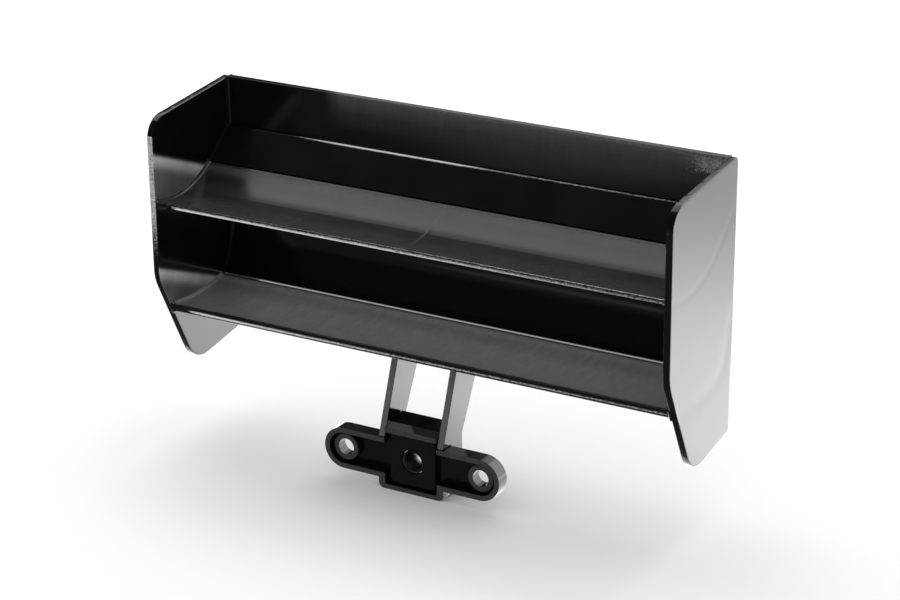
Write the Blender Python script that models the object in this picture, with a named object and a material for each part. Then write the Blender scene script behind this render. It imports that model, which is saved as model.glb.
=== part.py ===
"""Double-deck rear wing of a small radio-controlled buggy, on a two-strut bracket.

The constants are in millimetres and the scene is in metres. The origin is the centre of the bracket's
hole pattern, in the plane of its front rim. +X runs along the span to the right, +Y downstream and +Z up.
A section is a list of (y, z) points, and a face outline on the bracket is a list of (x, z) points.
"""

from math import acos, asin, atan2, cos, pi, radians, sin

import bmesh
import bpy
from mathutils import Matrix, Vector

MM = 0.001
GAP = 0.1
CUT_PAST = 1.0
SMALL_SIDES = 20

SPAN = 112.0
PANEL = 1.4
DECK = 1.2
TONGUE = 0.6
BACK_EDGE = 23.1

ENDPLATE_CORNERS = (
    # (y, z, radius), from the top back corner round to the bottom back corner
    (23.3, 64.1, 0.8),
    (-3.85, 61.7, 4.5),
    (-3.85, 29.05, 9.0),
    (6.75, 7.75, 6.0),
    (22.8, 10.25, 1.2),
)

UPPER_LIP = (-3.7, 45.3)
UPPER_LIP_HEIGHT = 0.95
UPPER_FOLD = (14.4, 48.4)
UPPER_SAG = 2.2
STEP = (21.05, 54.2)
FLAP_FRONT = 21.65
FLAP_TOP = 64.1
FLAP_FOOT = 52.2

LOWER_LIP = (-0.45, 22.85)
LOWER_LIP_FOOT = (0.15, 21.1)
LOWER_FOLD = (17.5, 23.6)
LOWER_SAG = 1.1
LOWER_RISER_TOP = (21.4, 34.6)
LOWER_RISER_SAG = 1.1
FOLD_JOINT = 0.2

RIB_THICKNESS = 1.2
RIB_FRONT_STEP = 9
RIB_BACK_SHARE = 0.85
RIB_FOOT = (15.0, 42.6)
RIB_BACK_FOOT = 43.4

STRUT_OUTER = 7.2
STRUT_THICKNESS = 1.4
STRUT_FOOT = -6.2
STRUT_FRONT_TOP = (6.15, 20.7)
STRUT_MIDDLE_TOP = (11.6, 20.75)
STRUT_BACK_TOP = (16.0, 21.1)
STRUT_KINK = (7.6, 5.2)

HOLE_PITCH = 30.0
HOLE_DIAMETER = 3.4
BOSS_DIAMETER = 5.4
BOSS_FACE = 0.8
BRACKET_DEPTH = 3.05
RECESS_DEPTH = 2.0
RECESS_CORNER = 0.4
RIM = 1.05
FOOT_RIM = 0.95
BOSS_SINK = 0.3
ARM_HEIGHT = 8.5
ARM_LENGTH = 38.9
BLOCK_TOP = 6.5
BLOCK_FOOT = -6.45
BLOCK_CORNER = 1.2
WEB_BACK = 6.5
WEB_UNDER = 5.3
WEB_FRONT_TOP = 6.6
WEB_BACK_TOP = 7.6

PLATE_HALF_WIDTH = 5.0
PLATE_HALF_HEIGHT = 5.25
PLATE_FACE = 0.83
PLATE_CORNER = 1.2
BUSH_OUTER = 4.8
BUSH_BORE = 3.8
BUSH_FACE = 0.9
BUSH_END = 7.4

SCREW_DIAMETER = 1.6
SCREW_HEAD = 3.0
SCREW_HEAD_HEIGHT = 1.3
SCREW_SOCKET = 1.2
SCREW_SOCKET_DEPTH = 0.8
SCREW_TIP_BEVEL = 0.3
SCREW_HEAD_ROUND = (0.35, 0.6)
SCREW_PAST_NUT = 0.4
DRILL_LENGTH = 4.0
SCREW_PLACES = ((9.2, 19.0), (13.1, 19.0))
NUT_FLATS = 3.2
NUT_HEIGHT = 1.3
LUG_THICKNESS = 1.4
LUG_OUTLINE = ((5.9, 21.4), (15.4, 22.3), (15.2, 17.3), (8.9, 17.3), (5.9, 18.9))

GLOSS_BLACK = ("gloss_black_plastic", (0.010, 0.010, 0.011), 0.16, 0.0)
GRAINED_BLACK = ("grained_black_plastic", (0.020, 0.020, 0.021), 0.42, 0.0)
BUSH_METAL = ("turned_steel", (0.42, 0.42, 0.43), 0.28, 1.0)
SCREW_METAL = ("black_oxide_steel", (0.060, 0.060, 0.065), 0.35, 1.0)


# ---------------------------------------------------------------- scene and finish

def clear_scene():
    for old in list(bpy.data.objects):
        bpy.data.objects.remove(old, do_unlink=True)


def material(spec):
    name, colour, roughness, metallic = spec
    found = bpy.data.materials.get(name)
    if found:
        return found
    made = bpy.data.materials.new(name)
    made.use_nodes = True
    shader = made.node_tree.nodes["Principled BSDF"]
    shader.inputs["Base Color"].default_value = (*colour, 1.0)
    shader.inputs["Roughness"].default_value = roughness
    shader.inputs["Metallic"].default_value = metallic
    return made


def add_object(name, bm, spec=None):
    """Turns the mesh to metres, closes it and links it. With no finish it is a helper."""
    bmesh.ops.remove_doubles(bm, verts=bm.verts, dist=1e-5)
    bmesh.ops.recalc_face_normals(bm, faces=bm.faces)
    bmesh.ops.scale(bm, verts=bm.verts, vec=(MM, MM, MM))
    mesh = bpy.data.meshes.new(name)
    bm.to_mesh(mesh)
    bm.free()
    mesh.shade_smooth()
    mesh.set_sharp_from_angle(angle=radians(35))
    made = bpy.data.objects.new(name, mesh)
    bpy.context.collection.objects.link(made)
    if spec:
        mesh.materials.append(material(spec))
    else:
        made.hide_render = True
        made.display_type = "WIRE"
    return made


def combine(target, helper, operation):
    """Cuts the helper from the target, or joins it on."""
    boolean = target.modifiers.new(f"{operation.lower()}_{helper.name}", "BOOLEAN")
    boolean.operation = operation
    boolean.solver = "EXACT"
    boolean.object = helper


# ---------------------------------------------------------------- outlines

def arc_between(start, end, sag, steps):
    """Points on the arc from start to end that bulges by sag to the right of the way along it."""
    a, b = Vector(start), Vector(end)
    half = (b - a).length / 2
    radius = (half * half + sag * sag) / (2 * sag)
    along = (b - a).normalized()
    right = Vector((along.y, -along.x))
    centre = (a + b) / 2 - right * (radius - sag)
    half_turn = asin(half / radius)
    turns = [half_turn * (2 * i / steps - 1) for i in range(steps + 1)]
    return [centre + radius * (right * cos(t) + along * sin(t)) for t in turns]


def offset(points, distance):
    """The same open line, moved to the right of its own direction."""
    moved = []
    for i, point in enumerate(points):
        along = (points[min(i + 1, len(points) - 1)] - points[max(i - 1, 0)]).normalized()
        moved.append(point + Vector((along.y, -along.x)) * distance)
    return moved


def grown(outline, distance):
    """A closed clockwise outline with every side moved outwards."""
    moved = []
    for i, here in enumerate(outline):
        first = (here - outline[i - 1]).normalized()
        second = (outline[(i + 1) % len(outline)] - here).normalized()
        left = Vector((-first.y, first.x)) + Vector((-second.y, second.x))
        moved.append(here + left * (2 * distance / left.length_squared))
    return moved


def rounded(corners, steps=6):
    """A closed outline from (a, b, radius) corners, each one replaced by an arc."""
    outline = []
    for i, (a, b, radius) in enumerate(corners):
        here = Vector((a, b))
        before = (Vector(corners[i - 1][:2]) - here).normalized()
        after = (Vector(corners[(i + 1) % len(corners)][:2]) - here).normalized()
        half = acos(max(-1.0, min(1.0, before.dot(after)))) / 2
        if radius == 0:
            outline.append(here)
            continue
        centre = here + (before + after).normalized() * (radius / sin(half))
        start = here + before * (radius * cos(half) / sin(half)) - centre
        sweep = (pi - 2 * half) * (1 if before.x * after.y - before.y * after.x < 0 else -1)
        first = atan2(start.y, start.x)
        for k in range(steps + 1):
            turn = first + sweep * k / steps
            outline.append(centre + radius * Vector((cos(turn), sin(turn))))
    return outline


def stadium(half_length, half_height, steps=16):
    """A bar outline with full round ends."""
    straight = half_length - half_height
    outline = []
    for side in (1, -1):
        for k in range(steps + 1):
            turn = side * (pi / 2 - pi * k / steps)
            outline.append(Vector((side * (straight + half_height * cos(turn)), half_height * sin(turn))))
    return outline


def rectangle(a0, a1, b0, b1, radius=0.0):
    return rounded([(a0, b0, radius), (a1, b0, radius), (a1, b1, radius), (a0, b1, radius)])


# ---------------------------------------------------------------- solids

def prism(name, points, low, high, spec=None):
    """A solid with a (y, z) section, from x = low to x = high."""
    corners = [Vector((low, y, z)) for y, z in points]
    return extruded(name, corners, Vector((high - low, 0, 0)), spec)


def slab(name, points, front, back, spec=None):
    """A solid with an (x, z) outline, from y = front to y = back."""
    corners = [Vector((x, front, z)) for x, z in points]
    return extruded(name, corners, Vector((0, back - front, 0)), spec)


def extruded(name, corners, way, spec):
    bm = bmesh.new()
    face = bm.faces.new([bm.verts.new(corner) for corner in corners])
    made = bmesh.ops.extrude_face_region(bm, geom=[face])
    moved = [item for item in made["geom"] if isinstance(item, bmesh.types.BMVert)]
    bmesh.ops.translate(bm, verts=moved, vec=way)
    return add_object(name, bm, spec)


def rod(name, centre, axis, diameter, length, spec=None, sides=32):
    """A cylinder that starts at centre and runs along axis ('X' or 'Y'), backwards if length is negative."""
    turn = Matrix.Rotation(pi / 2, 4, "Y") if axis == "X" else Matrix.Rotation(-pi / 2, 4, "X")
    radius = diameter / 2
    middle = Matrix.Translation((0, 0, length / 2))
    bm = bmesh.new()
    bmesh.ops.create_cone(
        bm, cap_ends=True, segments=sides, radius1=radius, radius2=radius, depth=abs(length), matrix=middle
    )
    bmesh.ops.transform(bm, verts=bm.verts, matrix=Matrix.Translation(centre) @ turn)
    return add_object(name, bm, spec)


# ---------------------------------------------------------------- deck sections

def upper_shelf_section():
    top = arc_between(UPPER_LIP, UPPER_FOLD, UPPER_SAG, 20)
    under = offset(top, DECK)
    return top + under[:2:-1] + [Vector((UPPER_LIP[0], UPPER_LIP[1] - UPPER_LIP_HEIGHT))]


def upper_riser_section():
    foot, step = riser_line()
    under = offset([foot, step], DECK)
    ledge_end = FLAP_FRONT - GAP
    share = (ledge_end - under[0].x) / (under[1].x - under[0].x)
    return [foot, step, Vector((ledge_end, step.y)), under[0].lerp(under[1], share), under[0]]


def riser_line():
    fold, step = Vector(UPPER_FOLD), Vector(STEP)
    return fold + (step - fold).normalized() * FOLD_JOINT, step


def flap_section():
    return rectangle(FLAP_FRONT, BACK_EDGE, FLAP_FOOT, FLAP_TOP)


def lower_shelf_section():
    top = arc_between(LOWER_LIP, LOWER_FOLD, LOWER_SAG, 20)
    under = offset(top, DECK)
    foot = Vector(LOWER_LIP_FOOT)
    return top + under[:2:-1] + [Vector((foot.x + DECK, foot.y)), foot]


def lower_riser_section():
    fold, end = Vector(LOWER_FOLD), Vector(LOWER_RISER_TOP)
    whole = arc_between(fold, end, LOWER_RISER_SAG, 16)
    whole[0] = fold + (whole[1] - fold).normalized() * FOLD_JOINT
    return whole + offset(whole, DECK)[::-1]


def groove_section(name):
    """The outline cut into an endplate for a panel's end. The flap's one is open behind and above."""
    if name == "top_flap":
        return rectangle(FLAP_FRONT - GAP, BACK_EDGE + CUT_PAST, FLAP_FOOT - GAP, FLAP_TOP + CUT_PAST)
    return grown(DECK_SECTIONS[name](), GAP)


DECK_SECTIONS = {
    "upper_shelf": upper_shelf_section,
    "upper_riser": upper_riser_section,
    "top_flap": flap_section,
    "lower_shelf": lower_shelf_section,
    "lower_riser": lower_riser_section,
}


# ---------------------------------------------------------------- wing

def build_endplate(side):
    """One flat side plate, with a groove in its inner face for the end of each deck panel."""
    outer = side * SPAN / 2
    inner = outer - side * PANEL
    label = "right" if side > 0 else "left"
    plate = prism(f"endplate_{label}", rounded(ENDPLATE_CORNERS, 8), inner, outer, GLOSS_BLACK)
    for name in DECK_SECTIONS:
        mouth, end = inner - side * CUT_PAST, inner + side * (TONGUE + GAP)
        combine(plate, prism(f"groove_{name}_{label}", groove_section(name), mouth, end), "DIFFERENCE")


def build_decks():
    reach = SPAN / 2 - PANEL + TONGUE
    for name, section in DECK_SECTIONS.items():
        panel = prism(name, section(), -reach, reach, GLOSS_BLACK)
        if name == "lower_shelf":
            add_lugs(panel)


def add_lugs(shelf):
    """Two ears under the lower shelf, each beside the outer face of a strut."""
    inner = STRUT_OUTER + GAP
    for side in (-1, 1):
        lug = prism(f"lug_{side}", LUG_OUTLINE, side * inner, side * (inner + LUG_THICKNESS))
        combine(shelf, lug, "UNION")
        drill_screw_holes(shelf, side, inner)


def drill_screw_holes(target, side, inner):
    """Two clearance holes for the cross screws, through the wall that starts at |x| = inner."""
    start = side * (inner - CUT_PAST)
    for number, place in enumerate(SCREW_PLACES):
        drill = rod(
            f"{target.name}_hole_{side}_{number}", (start, *place), "X",
            SCREW_DIAMETER + 2 * GAP, side * DRILL_LENGTH, sides=SMALL_SIDES,
        )
        combine(target, drill, "DIFFERENCE")


def build_centre_rib():
    """A web under the back half of the upper deck, at mid span."""
    under = offset(arc_between(UPPER_LIP, UPPER_FOLD, UPPER_SAG, 20), DECK + GAP)
    foot, step = offset(list(riser_line()), DECK + GAP)
    end = foot.lerp(step, RIB_BACK_SHARE)
    line = under[RIB_FRONT_STEP:-1] + [end, Vector((end.x, RIB_BACK_FOOT)), Vector(RIB_FOOT)]
    prism("centre_rib", line, -RIB_THICKNESS / 2, RIB_THICKNESS / 2, GLOSS_BLACK)


# ---------------------------------------------------------------- struts and their fixings

def strut_section():
    """The leaning blade, with a foot that stands on an arm of the bracket and goes down behind it."""
    rise = (STRUT_FRONT_TOP[0] - GAP) / (STRUT_FRONT_TOP[1] - ARM_HEIGHT / 2)
    seat = ARM_HEIGHT / 2 + GAP
    behind = BRACKET_DEPTH + GAP
    return [
        (GAP + rise * GAP, seat),
        STRUT_FRONT_TOP,
        STRUT_MIDDLE_TOP,
        STRUT_BACK_TOP,
        STRUT_KINK,
        (STRUT_KINK[0], STRUT_FOOT),
        (behind, STRUT_FOOT),
        (behind, seat),
    ]


def build_struts():
    for side, label in ((-1, "left"), (1, "right")):
        inner = STRUT_OUTER - STRUT_THICKNESS
        strut = prism(f"strut_{label}", strut_section(), side * inner, side * STRUT_OUTER, GRAINED_BLACK)
        drill_screw_holes(strut, side, inner)


def build_screw(name, place, side):
    """A socket head screw, with its head outside the lug and its end through the nut."""
    under_head = STRUT_OUTER + LUG_THICKNESS + 2 * GAP
    tip = STRUT_OUTER - STRUT_THICKNESS - 2 * GAP - NUT_HEIGHT - SCREW_PAST_NUT
    radius, head = SCREW_DIAMETER / 2, SCREW_HEAD / 2
    top = under_head + SCREW_HEAD_HEIGHT
    drop, inset = SCREW_HEAD_ROUND
    profile = [
        (tip, 0), (tip, radius - SCREW_TIP_BEVEL), (tip + SCREW_TIP_BEVEL, radius),
        (under_head, radius), (under_head, head), (top - drop, head),
        (top - drop / 3, head - inset / 3), (top, head - inset), (top, 0),
    ]
    bm = bmesh.new()
    line = [bm.verts.new((side * x, r, 0)) for x, r in profile]
    edges = [bm.edges.new(pair) for pair in zip(line, line[1:])]
    bmesh.ops.spin(
        bm, geom=line + edges, cent=(0, 0, 0), axis=(1, 0, 0), angle=2 * pi, steps=SMALL_SIDES, use_merge=True
    )
    bmesh.ops.translate(bm, verts=bm.verts, vec=(0, *place))
    screw = add_object(name, bm, SCREW_METAL)
    start = (side * (top - SCREW_SOCKET_DEPTH), *place)
    width, depth = SCREW_SOCKET / cos(pi / 6), SCREW_SOCKET_DEPTH + CUT_PAST
    combine(screw, rod(f"{name}_socket", start, "X", width, side * depth, sides=6), "DIFFERENCE")


def build_nut(name, place, side):
    """A hexagon nut against the strut's inner face."""
    outer = side * (STRUT_OUTER - STRUT_THICKNESS - GAP)
    nut = rod(name, (outer, *place), "X", NUT_FLATS / cos(pi / 6), -side * NUT_HEIGHT, SCREW_METAL, sides=6)
    start = (outer + side * CUT_PAST, *place)
    bore = rod(f"{name}_bore", start, "X", SCREW_DIAMETER + GAP, -side * DRILL_LENGTH, sides=SMALL_SIDES)
    combine(nut, bore, "DIFFERENCE")


def build_strut_fixings():
    for side, label in ((-1, "left"), (1, "right")):
        for place, where in zip(SCREW_PLACES, ("front", "rear")):
            build_screw(f"strut_screw_{label}_{where}", place, side)
            build_nut(f"strut_nut_{label}_{where}", place, side)


# ---------------------------------------------------------------- bracket

def build_bracket():
    """A flat bar with a centre block, hollowed from the front down to a thin floor."""
    half_arm = ARM_HEIGHT / 2
    inner_strut = STRUT_OUTER - STRUT_THICKNESS
    bracket = slab("mount_bracket", stadium(ARM_LENGTH / 2, half_arm), 0, BRACKET_DEPTH, GRAINED_BLACK)
    lower = rounded([
        (-STRUT_OUTER, BLOCK_FOOT, BLOCK_CORNER), (STRUT_OUTER, BLOCK_FOOT, BLOCK_CORNER),
        (STRUT_OUTER, 0, 0), (-STRUT_OUTER, 0, 0),
    ])
    combine(bracket, slab("lower_block", lower, 0, BRACKET_DEPTH), "UNION")
    half_top = inner_strut - GAP
    upper = rectangle(-half_top, half_top, -half_arm / 2, BLOCK_TOP)
    combine(bracket, slab("upper_block", upper, 0, BRACKET_DEPTH), "UNION")
    arms = stadium(ARM_LENGTH / 2 - RIM, half_arm - RIM)
    combine(bracket, slab("arm_recess", arms, -CUT_PAST, RECESS_DEPTH), "DIFFERENCE")
    centre = rectangle(-inner_strut, inner_strut, BLOCK_FOOT + FOOT_RIM, BLOCK_TOP - RIM, RECESS_CORNER)
    combine(bracket, slab("centre_recess", centre, -CUT_PAST, RECESS_DEPTH), "DIFFERENCE")
    through = BRACKET_DEPTH + 2 * CUT_PAST
    for side in (-1, 1):
        x = side * HOLE_PITCH / 2
        height = BRACKET_DEPTH - BOSS_FACE - BOSS_SINK
        combine(bracket, rod(f"boss_{side}", (x, BOSS_FACE, 0), "Y", BOSS_DIAMETER, height), "UNION")
        combine(bracket, rod(f"hole_{side}", (x, -CUT_PAST, 0), "Y", HOLE_DIAMETER, through), "DIFFERENCE")
    seat = rod("bush_seat", (0, -CUT_PAST, 0), "Y", BUSH_OUTER + 2 * GAP, through)
    combine(bracket, seat, "DIFFERENCE")


def build_centre_plate():
    """A square plate with round corners on the floor of the centre recess."""
    half_width, half_height = PLATE_HALF_WIDTH, PLATE_HALF_HEIGHT
    outline = rectangle(-half_width, half_width, -half_height, half_height, PLATE_CORNER)
    plate = slab("centre_plate", outline, PLATE_FACE, RECESS_DEPTH - GAP, GRAINED_BLACK)
    through = RECESS_DEPTH + 2 * CUT_PAST
    combine(plate, rod("plate_hole", (0, -CUT_PAST, 0), "Y", BUSH_OUTER + 2 * GAP, through), "DIFFERENCE")


def build_centre_bush():
    """A plain tube through the plate and the bracket's floor."""
    length = BUSH_END - BUSH_FACE
    bush = rod("centre_bush", (0, BUSH_FACE, 0), "Y", BUSH_OUTER, length, BUSH_METAL)
    bore = rod("bush_bore", (0, BUSH_FACE - CUT_PAST, 0), "Y", BUSH_BORE, length + 2 * CUT_PAST)
    combine(bush, bore, "DIFFERENCE")


def build_cross_web():
    """The shelf that ties the two struts together behind the bracket's top edge."""
    front = BRACKET_DEPTH + GAP
    section = [(front, WEB_UNDER), (front, WEB_FRONT_TOP), (WEB_BACK, WEB_BACK_TOP), (WEB_BACK, WEB_UNDER)]
    half = STRUT_OUTER - STRUT_THICKNESS - GAP
    prism("cross_web", section, -half, half, GRAINED_BLACK)


def main():
    clear_scene()
    bpy.context.scene.unit_settings.scale_length = 1.0
    for side in (-1, 1):
        build_endplate(side)
    build_decks()
    build_centre_rib()
    build_struts()
    build_strut_fixings()
    build_bracket()
    build_centre_plate()
    build_centre_bush()
    build_cross_web()


main()
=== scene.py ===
"""Looks of a small black rear wing with stacked decks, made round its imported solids.

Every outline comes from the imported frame: a piece is drawn again from the flat faces of the solid that it
stands for, with the round arrises, blends and surface marks that the moulded part has. The frame is in
metres, and a Blank, a piece in the making, is in millimetres.
"""

import logging
from collections.abc import Callable, Iterable, Sequence
from dataclasses import dataclass, field
from enum import Enum
from math import atan2, cos, exp, hypot, pi, radians, sin

import bmesh
import bpy
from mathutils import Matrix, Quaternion, Vector


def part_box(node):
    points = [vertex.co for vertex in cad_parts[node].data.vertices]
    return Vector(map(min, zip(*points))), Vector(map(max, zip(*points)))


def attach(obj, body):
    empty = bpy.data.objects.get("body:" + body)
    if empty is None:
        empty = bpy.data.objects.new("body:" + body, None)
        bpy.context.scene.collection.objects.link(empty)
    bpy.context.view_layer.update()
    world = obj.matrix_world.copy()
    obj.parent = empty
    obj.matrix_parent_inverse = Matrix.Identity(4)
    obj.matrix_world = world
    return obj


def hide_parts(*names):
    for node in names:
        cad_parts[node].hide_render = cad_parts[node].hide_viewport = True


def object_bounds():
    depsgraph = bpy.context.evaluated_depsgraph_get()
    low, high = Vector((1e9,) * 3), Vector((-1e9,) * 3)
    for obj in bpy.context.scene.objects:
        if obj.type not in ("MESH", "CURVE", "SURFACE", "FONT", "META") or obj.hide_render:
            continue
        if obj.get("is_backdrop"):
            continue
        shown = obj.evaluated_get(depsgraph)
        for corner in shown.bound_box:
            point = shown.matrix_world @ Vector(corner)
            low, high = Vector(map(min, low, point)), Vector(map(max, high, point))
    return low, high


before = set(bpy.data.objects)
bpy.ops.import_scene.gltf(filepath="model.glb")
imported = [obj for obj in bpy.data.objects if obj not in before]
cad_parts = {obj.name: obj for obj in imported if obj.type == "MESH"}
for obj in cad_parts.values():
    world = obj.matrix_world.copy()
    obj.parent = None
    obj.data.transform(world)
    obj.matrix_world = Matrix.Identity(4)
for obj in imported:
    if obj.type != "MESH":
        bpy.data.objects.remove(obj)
CAD_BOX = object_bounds()

log = logging.getLogger("rear_wing")

MM = 0.001
BODY = "root"
# Points this close together, in millimetres, are one point.
SAME_PLACE = 0.004
# A face whose middle is this close to a plane, in millimetres, is level with it.
SAME_LEVEL = 0.1
# Where two faces turn by more than this, they meet in an arris.
FLAT_ANGLE = radians(24)
# A face within this angle of an axis looks along it.
FACING_ANGLE = radians(38)
# Cosine of the turn at a point of a loop, above which the loop runs straight through it.
STRAIGHT = 0.99999
HOLE_SIDES = 40
# The part of its range that a noise texture mostly fills.
NOISE_LOW, NOISE_HIGH = 0.3, 0.7

Loop = list[Vector]


class Axis(Enum):
    """The row axes, as the number of a vector's component."""

    X = 0
    Y = 1
    Z = 2

    def unit(self) -> Vector:
        """A vector of length one along the axis."""
        return Vector([1.0 if number == self.value else 0.0 for number in range(3)])


class Slot(Enum):
    """The record's material slots."""

    GLOSS = "gloss_black"
    GRAINED = "grained_black"
    BUSH = "bush_metal"
    SCREW = "screw_metal"


class Side(Enum):
    """The two halves of the wing, seen with its open front towards the eye."""

    LEFT = -1
    RIGHT = 1

    @property
    def label(self) -> str:
        """The word that names of pieces use."""
        return self.name.lower()


# ---------------------------------------------------------------- reading the frame


def box_mm(node: str) -> tuple[Vector, Vector]:
    """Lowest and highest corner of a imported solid.

    Args:
        node: Name of the CAD node.

    Returns:
        The two corners, in millimetres.
    """
    low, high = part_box(node)
    return low / MM, high / MM


def add_solid(mesh: bmesh.types.BMesh, node: str) -> None:
    """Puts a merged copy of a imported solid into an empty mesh, in millimetres.

    Args:
        mesh: The mesh.
        node: Name of the CAD node.
    """
    mesh.from_mesh(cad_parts[node].data)
    bmesh.ops.scale(mesh, verts=mesh.verts, vec=Vector((1, 1, 1)) / MM)
    bmesh.ops.remove_doubles(mesh, verts=mesh.verts, dist=SAME_PLACE)


def flat_loops(node: str, axis: Axis, place: float) -> list[Loop]:
    """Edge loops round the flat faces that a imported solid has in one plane.

    Args:
        node: Name of the CAD node.
        axis: The plane's normal.
        place: Where the plane crosses that axis, in millimetres.

    Returns:
        Closed loops of points in millimetres, the longest one first.
    """
    mesh = bmesh.new()
    add_solid(mesh, node)
    level = {v for v in mesh.verts if abs(v.co[axis.value] - place) < 2 * SAME_PLACE}
    inside = {face for face in mesh.faces if level.issuperset(face.verts)}
    # A list, in the mesh's own order, so that each run starts every loop at the same edge.
    rim = [edge for edge in mesh.edges if len(inside.intersection(edge.link_faces)) == 1]
    loops = []
    while rim:
        edge = rim.pop(0)
        first, here = edge.verts
        loop = [first.co.copy()]
        while here is not first:
            loop.append(here.co.copy())
            edge = next(near for near in here.link_edges if near in rim)
            rim.remove(edge)
            here = edge.other_vert(here)
        loops.append(without_straight_points(loop))
    mesh.free()
    return sorted(loops, key=girth, reverse=True)


def without_straight_points(loop: Loop) -> Loop:
    """The same closed loop without the points that lie on a straight run.

    Args:
        loop: Points in order.

    Returns:
        The corner points.
    """
    kept = []
    for number, point in enumerate(loop):
        before = (point - loop[number - 1]).normalized()
        after = (loop[(number + 1) % len(loop)] - point).normalized()
        if before.dot(after) < STRAIGHT:
            kept.append(point)
    return kept


def girth(loop: Loop) -> float:
    """Length round a closed loop."""
    return sum((point - loop[number - 1]).length for number, point in enumerate(loop))


def middle(loop: Loop) -> Vector:
    """Mean of a loop's points."""
    return sum(loop, Vector()) / len(loop)


def circle(centre: Vector, axis: Axis, radius: float, sides: int = 64) -> Loop:
    """Points of a circle that stands square to an axis.

    Args:
        centre: Its centre, in millimetres.
        axis: Its normal.
        radius: In millimetres.
        sides: Number of points.

    Returns:
        The points in order.
    """
    start = Axis((axis.value + 1) % 3).unit() * radius
    return [centre + Quaternion(axis.unit(), 2 * pi * k / sides) @ start for k in range(sides)]


def section_of(node: str) -> Loop:
    """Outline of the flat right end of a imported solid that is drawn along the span."""
    return flat_loops(node, Axis.X, box_mm(node)[1].x)[0]


def with_round_holes(loops: Sequence[Loop]) -> list[Loop]:
    """Draws the faceted holes of a plate that stands square to X as finer circles.

    Args:
        loops: The outline, then the rim of each hole.

    Returns:
        The outline, then a circle for each hole.
    """
    holes = [circle(middle(loop), Axis.X, girth(loop) / (2 * pi), HOLE_SIDES) for loop in loops[1:]]
    return [loops[0], *holes]


def between(value: float, low: float, high: float) -> float:
    """A smooth step from 0 at low to 1 at high."""
    share = max(0.0, min(1.0, (value - low) / (high - low)))
    return share * share * (3 - 2 * share)


# ---------------------------------------------------------------- pieces in the making


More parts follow.
